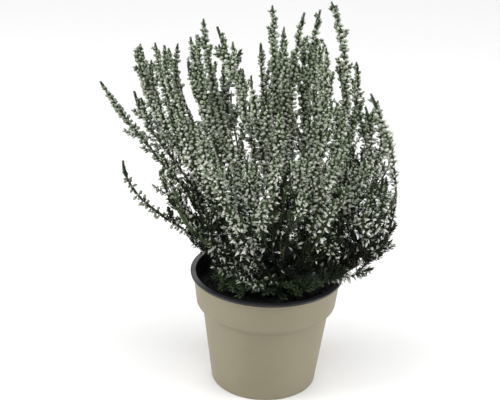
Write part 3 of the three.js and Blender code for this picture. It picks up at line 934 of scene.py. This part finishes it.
LOW_TWIG_BUDDED = 0.45  # share of the low twigs that carry buds too
HIGH_TWIG_BUDDED = 0.92  # share of the high twigs that do
HIGH_TWIG = 172 * MM
LOW_TWIG_BUDS = 0.45  # a millimetre
HIGH_TWIG_BUDS = 0.95
TWIG_GAP_MARGIN = 1.0  # in pixels
TWIG_STEP = 4 * MM
TWIG_LENGTHS = (8, 19)
TWIG_ANGLES = (40, 70)
HIGHEST_TWIG = 0.62  # share of the leader's length
TWIGGY_BELOW = 112 * MM  # every second twig above this height is missing
CHOSEN_TWIG_STEP = 5 * MM
CHOSEN_TWIG_LENGTHS = (8, 14)
CHOSEN_TWIG_ANGLES = (40, 65)
CHOSEN_TWIGLESS = 6 * MM  # at both ends of a chosen spike
BASE_SUB_TWIGS = 5
BASE_SUB_LENGTHS = (6, 10)
BASE_SUB_ANGLE = math.radians(50)


def twig_buds(line, rng):
    """How many buds a leafy twig carries on a millimetre: none near the peat, most on the high twigs."""
    high = line[0, 2] > HIGH_TWIG
    if line[:, 2].min() <= BUDS_ABOVE or rng.uniform() > (HIGH_TWIG_BUDDED if high else LOW_TWIG_BUDDED):
        return 0.0
    return HIGH_TWIG_BUDS if high else LOW_TWIG_BUDS


def add_twig(shoot, line, rng):
    """Adds a leafy twig, unless it would touch the pot's rim or show in a gap."""
    if clear_of_rim(line) and not seen_in_gap(line, TWIG_GAP_MARGIN).any():
        shoot.twigs.append((Axis(line), twig_buds(line, rng)))


def add_twigs(shoot):
    """Short leafy twigs along the leader, below its spike, some with a few buds."""
    rng = shoot.rng
    highest = min(HIGHEST_TWIG, LONE_FROM.get(shoot.key, 1.0)) * shoot.axis.length
    for i, distance in enumerate(np.arange(shoot.bare, highest, TWIG_STEP)):
        length = rng.uniform(*TWIG_LENGTHS) * MM
        angle = any_angle(rng, *TWIG_ANGLES)
        line = side_line(shoot.axis, distance, i * GOLDEN_ANGLE, angle, length, rng)
        if i % 2 and (line[0, 2] > TWIGGY_BELOW or in_hollow(line).any()):
            continue
        add_twig(shoot, line, rng)


def add_base_twigs(by_key):
    """The leafy twigs above the peat, each with smaller ones to both sides."""
    rng = np.random.default_rng(BASE_TWIG_SEED)
    for key, share, x, y, depth in BASE_TWIGS:
        shoot = by_key[key]
        twig = Axis(chosen_line(shoot.axis, share, x, y, depth))
        shoot.base_twigs.append(twig)
        for i in range(BASE_SUB_TWIGS):
            start = twig.length * (0.3 + 0.6 * i / BASE_SUB_TWIGS)
            length = rng.uniform(*BASE_SUB_LENGTHS) * MM
            line = side_line(twig, start, i * math.pi + 0.5, BASE_SUB_ANGLE, length, rng)
            if clear_of_rim(line):
                shoot.base_twigs.append(Axis(line))


# --- Side spikes and laterals ---


def add_chosen_spikes(by_key):
    """The listed spikes, each with short leafy twigs of its own."""
    rng = np.random.default_rng(CHOSEN_SEED)
    for key, share, x, y, depth in CHOSEN_SPIKES:
        shoot = by_key[key]
        spike = Axis(chosen_line(shoot.axis, share, x, y, depth))
        shoot.spikes.append(spike)
        distances = np.arange(CHOSEN_TWIGLESS, spike.length - CHOSEN_TWIGLESS, CHOSEN_TWIG_STEP)
        for i, distance in enumerate(distances):
            length = rng.uniform(*CHOSEN_TWIG_LENGTHS) * MM
            angle = any_angle(rng, *CHOSEN_TWIG_ANGLES)
            add_twig(shoot, side_line(spike, distance, i * GOLDEN_ANGLE, angle, length, rng), rng)


SIDE_TRIES = 30  # side spikes tried on each shoot
SIDE_GAP = 6.0 * MM  # least gap between one spike's axis and another's
SIDE_FREE = 18 * MM  # a side spike's first stretch may lie nearer to its own leader
SIDE_GAP_MARGIN = 2.5  # in pixels
SIDE_STARTS = (0.32, 0.86)  # shares of the leader's length
LOW_SIDE_STARTS = (0.08, 0.6)
SIDE_LENGTHS = (32, 66)
SIDE_ROOM_SHARES = (0.38, 0.74)  # a side spike's length as a share of the leader's length above it
SIDE_ROOM_EXTRA = 6 * MM
SHORTEST_SIDE = 13 * MM
SIDE_ANGLES = (34, 48)
FORK_POINTS = 4  # a spike's points at its fork, which may lie near to others
TAKEN_SHARES = np.arange(0.2, 1.0, 0.02)  # where a leader takes up room


def add_side_spikes(shoots):
    """Fills the crown with side spikes wherever there is room between those already there."""
    rng = np.random.default_rng(SIDE_SPIKE_SEED)
    taken = {shoot.key: shoot.axis.place(TAKEN_SHARES * shoot.axis.length) for shoot in shoots}
    for shoot in shoots:
        for i, spike in enumerate(shoot.spikes):
            taken[f"{shoot.key}_chosen_{i}"] = spike.points[FORK_POINTS:]
    tries = [(shoot, k) for shoot in shoots if shoot.key not in LEAFY_SHOOTS for k in range(SIDE_TRIES)]
    rng.shuffle(tries)
    for shoot, k in tries:
        axis = shoot.axis
        start = axis.length * rng.uniform(*(LOW_SIDE_STARTS if shoot.key in LOW_SPREADERS else SIDE_STARTS))
        room = axis.length - start
        roomy = rng.uniform(*SIDE_ROOM_SHARES) * room + SIDE_ROOM_EXTRA
        length = min(roomy, rng.uniform(*SIDE_LENGTHS) * MM)
        if length < SHORTEST_SIDE or start > LONE_FROM.get(shoot.key, 1.0) * axis.length:
            continue
        turn = k * GOLDEN_ANGLE + rng.uniform(-0.4, 0.4)
        angle = any_angle(rng, *SIDE_ANGLES)
        line = side_line(axis, start, turn, angle, length, rng, *GROWTH.get(shoot.key, USUAL_GROWTH))
        free = line[int(SIDE_FREE / SIDE_STEP):]
        if len(free) == 0 or not in_cad_box(line) or not clear_of_rim(line):
            continue
        if seen_in_gap(line, SIDE_GAP_MARGIN).any():
            continue
        others = np.concatenate([points for key, points in taken.items() if key != shoot.key])
        near = min(
            np.linalg.norm(line[FORK_POINTS - 1:, None] - others[None], axis=2).min(),
            np.linalg.norm(free[:, None] - taken[shoot.key][None], axis=2).min(),
        )
        if near >= SIDE_GAP:
            taken[f"{shoot.key}_{k}"] = line[FORK_POINTS:]
            shoot.spikes.append(Axis(line))


LATERAL_STEP = 5.5 * MM
LATERALS_BELOW_TIP = 7 * MM
LATERAL_ZONE = 95 * MM
LATERALS_FROM = 0.35  # lowest share of the leader's length
LATERAL_REACH = 0.65  # of the distance to the leader's tip
LONGEST_LATERAL = 12 * MM
LATERAL_ANGLES = (34, 56)
LATERAL_GROWTH = (0.9, 0.1, 0.13)
LATERAL_GAP_MARGIN = 3.0


def add_laterals(shoot):
    """Short budding side shoots, which widen a spike to a plume below its tip."""
    rng = shoot.rng
    axis = shoot.axis
    first = max(axis.length - LATERAL_ZONE, LATERALS_FROM * axis.length)
    lone = LONE_FROM.get(shoot.key, 1.0) * axis.length
    for i, distance in enumerate(np.arange(axis.length - LATERALS_BELOW_TIP, first, -LATERAL_STEP)):
        reach = LATERAL_REACH if distance < lone else LONE_REACH[shoot.key]
        length = min(reach * (axis.length - distance), LONGEST_LATERAL) * rng.uniform(0.6, 1.3)
        angle = any_angle(rng, *LATERAL_ANGLES)
        line = side_line(axis, distance, i * GOLDEN_ANGLE, angle, length, rng, *LATERAL_GROWTH)
        if len(line) < 3 or seen_in_gap(line, LATERAL_GAP_MARGIN).any() or not clear_of_rim(line):
            continue
        if in_cad_box(line):
            shoot.laterals.append((Axis(line), (axis.length - distance) / LATERAL_ZONE))


# --- Buds and leaves ---

GROWN = 24 * MM  # distance from a spike's tip at which its buds have their full size
BUDS_PER_MM = 1.1
# At these heights, the share of the buds that there might be.
BUD_DENSITY = ((98 * MM, 122 * MM, 158 * MM, 200 * MM), (0.85, 0.46, 0.34, 1.0))
HOLLOW_SHARE = 0.12
BUD_HEIGHTS = (110 * MM, 190 * MM, 250 * MM)
BUD_LENGTHS = (6.8 * MM, 5.2 * MM, 3.9 * MM)  # at those heights
BUD_RADII = (1.0 * MM, 1.06 * MM, 1.42 * MM)
BUD_DROOPS = (1.1, 0.35, 0.3)
BUD_WHITENESS = (1.12, 0.86, 0.3)
ROUND_ABOVE = 205 * MM  # buds above about this height are round
ROUND_SPREAD = 40 * MM  # over which their share grows
BUD_OPENING = 26  # degrees from the stem, at its tip
GROWN_BUD_OPENING = 48  # degrees more, once grown
BUD_FOOT = 0.3 * MM
# The buds of the lone shoots, against the others'.
LONE_DENSITY = 0.72  # at least this share of those there might be
LONE_LENGTH = 0.76
LONE_WIDTH = 1.06
LONE_WHITENESS = 0.2
LONE_TINT = 0.15


def stand(heap, shape, wanted, *values):
    """Adds the wanted ones of a shape's copies, given by their places and sizes, their tint, and their age
    for buds and their painted shade for leaves.
    """
    if wanted.any():
        *places, tint, age = (value[wanted] for value in values)
        copies(heap, shape, *places, tint=tint, age=age)


def bud_run(heap, axis, start, end, age, rng, per_mm=BUDS_PER_MM, lone=False):
    """Buds round a stem: small, green and held close near its tip, and lower down they stick out and nod."""
    count = int((end - start) / MM * per_mm)
    if count < 1:
        return
    share = (np.arange(count) + rng.uniform(0.1, 0.9, count)) / count
    place = axis.place(start + share * (end - start))
    wanted = np.maximum(np.interp(place[:, 2], *BUD_DENSITY), LONE_DENSITY if lone else 0.0)
    wanted = np.where(in_hollow(place), wanted * HOLLOW_SHARE, wanted)
    share = share[rng.uniform(0, 1, count) < wanted]
    count = len(share)
    if count < 1:
        return
    distance = start + share * (end - start)
    place = axis.place(distance)
    height = place[:, 2]
    turn = np.arange(count) * GOLDEN_ANGLE + rng.uniform(-0.5, 0.5, count) + rng.uniform(0, 6)
    out = axis.radial(distance, turn)
    grown = np.clip((axis.length - distance) / GROWN, 0.0, 1.0) ** 0.7
    opening = np.radians(BUD_OPENING + GROWN_BUD_OPENING * grown + rng.uniform(-16, 16, count))
    heading = axis.direction(distance) * np.cos(opening)[:, None] + out * np.sin(opening)[:, None]
    heading[:, 2] -= grown * rng.uniform(0.05, 1.0, count) * np.interp(height, BUD_HEIGHTS, BUD_DROOPS)
    size = (0.55 + 0.45 * grown) * rng.uniform(0.82, 1.18, count)
    length = np.interp(height, BUD_HEIGHTS, BUD_LENGTHS) * size
    width = np.interp(height, BUD_HEIGHTS, BUD_RADII) * size
    tint = rng.uniform(0, 1, count)
    whiteness = age * grown * np.interp(height, BUD_HEIGHTS, BUD_WHITENESS)
    if lone:
        length = length * LONE_LENGTH
        width = width * LONE_WIDTH
        tint = tint * LONE_TINT
        whiteness = whiteness * LONE_WHITENESS
    whiteness = np.clip(whiteness + rng.uniform(-0.12, 0.12, count), 0, 1)
    foot = place + out * BUD_FOOT
    keep = ~seen_in_gap(foot + unit(heading) * length[:, None])
    is_round = height + (tint - 0.5) * ROUND_SPREAD > ROUND_ABOVE
    shapes = ((BUD_SHAPE, keep & ~is_round), (ROUND_BUD_SHAPE, keep & is_round))
    for shape, some in ((LONE_BUD_SHAPE, keep),) if lone else shapes:
        stand(heap, shape, some, foot, heading, out, length, width, tint, whiteness)


LEAF_LENGTH = 2.1 * MM
LEAF_WIDTH = 1.05 * MM
LEAF_FOOT = 0.2 * MM
LEAF_PAINTED_SHADE = ((96 * MM, 114 * MM, 155 * MM, 190 * MM), (0.0, 1.0, 0.82, 0.0))  # painted shade by height: deepest in the crown's middle, none at its foot and top


class Leaves(NamedTuple):
    """How leaves stand on a stem."""

    per_mm: float
    angle: float  # in degrees from the stem
    size: float
    taper: float = 1.0  # the last leaf's size against the first one's
    fresh: float = 0.0  # added to their tint
    shade: float = 1.0  # how much of the painted shade by height they take
    width: float = 1.0


def leaf_run(heap, axis, start, end, kind, rng):
    """Scale leaves in pairs, each pair across the one below it."""
    count = max(2, int((end - start) / MM * kind.per_mm))
    share = (np.arange(count) + 0.5) / count
    distance = start + share * (end - start)
    crossed = np.arange(count) * math.pi + np.floor(np.arange(count) / 2) * math.pi / 2
    out = axis.radial(distance, crossed + rng.uniform(-0.25, 0.25, count))
    opening = np.radians(kind.angle + rng.uniform(-10, 10, count))
    heading = axis.direction(distance) * np.cos(opening)[:, None] + out * np.sin(opening)[:, None]
    size = kind.size * (1 + (kind.taper - 1) * share)
    foot = axis.place(distance) + out * LEAF_FOOT
    length = LEAF_LENGTH * size * rng.uniform(0.85, 1.15, count)
    width = LEAF_WIDTH * kind.width * size
    tint = np.clip(rng.uniform(0.0, 0.7, count) + kind.fresh, 0, 1)
    # Painted shade, taken from the leaf's height in the crown.
    age = np.clip(kind.shade * np.interp(foot[:, 2], *LEAF_PAINTED_SHADE) + rng.uniform(-0.1, 0.1, count), 0, 1)
    keep = ~seen_in_gap(foot + unit(heading) * length[:, None])
    stand(heap, LEAF_SHAPE, keep, foot, heading, out, length, width, tint, age)


# --- Shoots and sprigs as pieces ---

# Stems: radius at the foot and at the tip, sides, spacing of rings, and the bark at both ends.
WOODY_STEM = Stem(1.35, 0.34, 7, 2.6)
THIN_STEM = Stem(0.8, 0.34, 7, 2.6, 0.15)
SPIKE_STEM = Stem(0.5, 0.3, 5, 3.6, 0.4)
LATERAL_STEM = Stem(0.36, 0.24, 4, 4, 0.6)
TWIG_STEM = Stem(0.4, 0.28, 4, 4, 0.5)
BASE_TWIG_STEM = Stem(0.45, 0.28, 4, 4, 0.0, 0.25)
SPRIG_STEM = Stem(0.6, 0.32, 6, 1.5, 0.0, 0.25)
SPRIG_TWIG_STEM = Stem(0.4, 0.28, 4, 3, 0.6)

# Leaves: how many a millimetre, their angle and their size.
LEAVES_BETWEEN_BUDS = Leaves(2.0, 25, 1.15, fresh=0.15)
LONG_TIP_LEAVES = Leaves(5.0, 30, 1.45, taper=0.5, fresh=0.08)
SHORT_TIP_LEAVES = Leaves(4.0, 20, 1.3, taper=0.5, fresh=0.25)
GREEN_SHOOT_LEAVES = Leaves(3.0, 46, 1.9, taper=0.75, fresh=0.6, shade=0.0, width=0.55)
LOW_LEAVES = Leaves(1.5, 40, 1.3)
LATERAL_LEAVES = Leaves(2.0, 32, 1.15, fresh=0.2)
HIGH_TWIG_LEAVES = Leaves(2.0, 36, 1.2, taper=0.8, fresh=0.15)
LOW_TWIG_LEAVES = Leaves(2.8, 40, 1.5, taper=0.8)
BASE_TWIG_LEAVES = Leaves(4.0, 46, 1.9, taper=0.8, fresh=0.4, width=0.7)
SPRIG_LEAVES = Leaves(3.6, 44, 1.8, taper=0.8, fresh=0.5, width=0.7)
SPRIG_TWIG_LEAVES = Leaves(3.6, 44, 1.7, taper=0.8, fresh=0.5, width=0.7)

STEM_TINTS = (0.2, 0.8)
LEADER_TINTS = (0.3, 0.7)
SHORT_TIPS = (1.5, 4.5)  # lengths of the usual leafy tips
LONG_TIP = 7 * MM  # a longer tip is thick with leaves
LONGEST_TIP = 0.35  # share of the spike's length
TIP_OVERLAP = 3 * MM
LEADER_AGE = 0.95
SPIKE_AGES = (0.35, 1.0)
SPIKE_BARE = 3 * MM
LATERAL_BARE = 2 * MM
TWIG_BARE = 1 * MM
TWIG_BUDLESS = 0.3  # share of the twig's length
WOODY_ROOT = 4 * MM  # how far a stem reaches below its CAD foot, into the peat
THIN_ROOT = 1.2 * MM  # and into its parent
SPRIG_ROOT = 3 * MM


def rooted(axis, depth):
    """An axis with a point added below its foot."""
    return Axis(np.concatenate([[axis.points[0] - axis.along[0] * depth], axis.points]))


def dress_spike(buds, leaves, axis, start, rng, age, tip, lone=False):
    """Buds, the small leaves between them, and the leafy tip of one spike."""
    end = axis.length - min(tip, axis.length * LONGEST_TIP)
    bud_run(buds, axis, start, end, age, rng, lone=lone)
    leaf_run(leaves, axis, start, end, LEAVES_BETWEEN_BUDS, rng)
    tip_leaves = LONG_TIP_LEAVES if tip > LONG_TIP else SHORT_TIP_LEAVES
    leaf_run(leaves, axis, end - TIP_OVERLAP, axis.length, tip_leaves, rng)


def dress_leader(shoot, stems, leaves, buds):
    rng = shoot.rng
    axis = shoot.axis
    whole = rooted(axis, WOODY_ROOT if shoot.woody else THIN_ROOT)
    tube(stems, whole, WOODY_STEM if shoot.woody else THIN_STEM, rng, rng.uniform(*LEADER_TINTS))
    if shoot.key in LEAFY_SHOOTS:
        leaf_run(leaves, axis, shoot.bare, axis.length, GREEN_SHOOT_LEAVES, rng)
        return
    low = axis.length * np.interp(BUDS_ABOVE, axis.points[:, 2], axis.distance / axis.length)
    start = max(low, shoot.bare)
    leaf_run(leaves, axis, shoot.bare, start, LOW_LEAVES, rng)
    tip = LONG_TIPS.get(shoot.key, rng.uniform(*SHORT_TIPS)) * MM
    dress_spike(buds, leaves, axis, start, rng, LEADER_AGE, tip, shoot.key in LONE_FROM)


def make_shoot(shoot):
    """The pieces of one shoot: its stems, its leaves and its buds, if it has any."""
    rng = shoot.rng
    stems = Heap("along", "tint")
    leaves = Heap("along", "tint", "age")
    buds = Heap("along", "tint", "age")
    dress_leader(shoot, stems, leaves, buds)
    for spike in shoot.spikes:
        tube(stems, spike, SPIKE_STEM, rng, rng.uniform(*STEM_TINTS))
        age = rng.uniform(*SPIKE_AGES)
        dress_spike(buds, leaves, spike, SPIKE_BARE, rng, age, rng.uniform(*SHORT_TIPS) * MM)
    for lateral, down in shoot.laterals:
        tube(stems, lateral, LATERAL_STEM, rng, rng.uniform(*STEM_TINTS))
        bud_run(buds, lateral, LATERAL_BARE, lateral.length, min(1.0, 0.25 + down), rng)
        leaf_run(leaves, lateral, TWIG_BARE, lateral.length, LATERAL_LEAVES, rng)
    for twig, buds_per_mm in shoot.twigs:
        tube(stems, twig, TWIG_STEM, rng, rng.uniform(*STEM_TINTS))
        twig_leaves = HIGH_TWIG_LEAVES if buds_per_mm == HIGH_TWIG_BUDS else LOW_TWIG_LEAVES
        leaf_run(leaves, twig, TWIG_BARE, twig.length, twig_leaves, rng)
        if buds_per_mm:
            bud_run(buds, twig, TWIG_BUDLESS * twig.length, twig.length, 1.0, rng, per_mm=buds_per_mm)
    for twig in shoot.base_twigs:
        tube(stems, twig, BASE_TWIG_STEM, rng, rng.uniform(*STEM_TINTS))
        leaf_run(leaves, twig, 0.1 * twig.length, twig.length, BASE_TWIG_LEAVES, rng)
    stems.piece(shoot.name + "_stem", BARK, "bark", [shoot.name])
    leaves.piece(shoot.name + "_leaves", LEAF, "leaf", [shoot.name], smooth=False)
    if buds.size:
        buds.piece(shoot.name + "_buds", BUD, "bud", [shoot.name])


SPRIG_TWIGS = 5
SPRIG_TWIG_ANGLE = math.radians(52)
LONGEST_SPRIG_TWIG = 9  # each one above is a millimetre shorter


def make_sprig(name, number):
    """The pieces of one low sprig: its stem with a few twigs, and their leaves."""
    rng = np.random.default_rng(SPRIG_SEED + number)
    axis = centre_line(name)
    stems = Heap("along", "tint")
    leaves = Heap("along", "tint", "age")
    tube(stems, rooted(axis, SPRIG_ROOT), SPRIG_STEM, rng)
    leaf_run(leaves, axis, 0.12 * axis.length, axis.length, SPRIG_LEAVES, rng)
    for k in range(SPRIG_TWIGS):
        start = axis.length * (0.25 + 0.13 * k)
        length = (LONGEST_SPRIG_TWIG - k) * MM
        twig = Axis(side_line(axis, start, k * GOLDEN_ANGLE, SPRIG_TWIG_ANGLE, length, rng))
        tube(stems, twig, SPRIG_TWIG_STEM, rng)
        leaf_run(leaves, twig, TWIG_BARE, twig.length, SPRIG_TWIG_LEAVES, rng)
    stems.piece(name + "_stem", BARK, "bark", [name])
    leaves.piece(name + "_leaves", LEAF, "leaf", [name], smooth=False)


def make_plant():
    names = sorted(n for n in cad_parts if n.startswith(("main_stem", "flower_shoot")))
    shoots = [Shoot(name, i) for i, name in enumerate(names)]
    by_key = {shoot.key: shoot for shoot in shoots}
    add_chosen_spikes(by_key)
    add_base_twigs(by_key)
    add_side_spikes(shoots)
    for shoot in shoots:
        if shoot.key not in LEAFY_SHOOTS:
            add_laterals(shoot)
        add_twigs(shoot)
        make_shoot(shoot)
    for i, name in enumerate(sorted(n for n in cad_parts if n.startswith("base_sprig"))):
        make_sprig(name, i)


# --- Stage, light and camera ---

FLOOR_SIZE = 12.0
SKY_STRENGTH = 0.34
PLANT_MIDDLE = (0.0, 0.0, 0.14)


def make_floor():
    bm = bmesh.new()
    bmesh.ops.create_grid(bm, x_segments=1, y_segments=1, size=FLOOR_SIZE)
    mesh = mesh_of(bm, "floor")
    mesh.materials.append(floor_material())
    add_object("floor", mesh)


def soft_light(name, place, size, power, aim=PLANT_MIDDLE):
    light = bpy.data.lights.new(name, "AREA")
    light.shape = "DISK"
    light.size = size
    light.energy = power
    lamp = add_object(name, light)
    lamp.location = place
    lamp.rotation_euler = (Vector(aim) - Vector(place)).to_track_quat("-Z", "Y").to_euler()


def make_light():
    world = bpy.data.worlds.new("studio")
    world.use_nodes = True
    world.node_tree.nodes["Background"].inputs["Color"].default_value = (1.0, 1.0, 1.0, 1.0)
    world.node_tree.nodes["Background"].inputs["Strength"].default_value = SKY_STRENGTH
    bpy.context.scene.world = world
    soft_light("left_softbox", (-1.3, -0.35, 0.75), size=0.9, power=15.0)
    soft_light("right_softbox", (1.3, -0.3, 0.7), size=0.9, power=13.5)
    soft_light("top_softbox", (0.0, -1.0, 2.4), size=2.4, power=42.0)
    soft_light("floor_softbox", (0.0, 3.4, 2.4), size=3.0, power=60.0, aim=(0.0, 3.4, 0.0))
    bpy.context.scene.view_settings.view_transform = "Standard"


def make_camera():
    data = bpy.data.cameras.new("camera")
    data.lens = LENS
    data.sensor_width = SENSOR
    camera = add_object("camera", data)
    camera.matrix_world = Matrix.Translation(CAMERA_PLACE) @ CAMERA_TURN.to_4x4()
    bpy.context.scene.camera = camera


make_camera()
make_light()
make_floor()
make_pot()
make_peat()
make_plant()
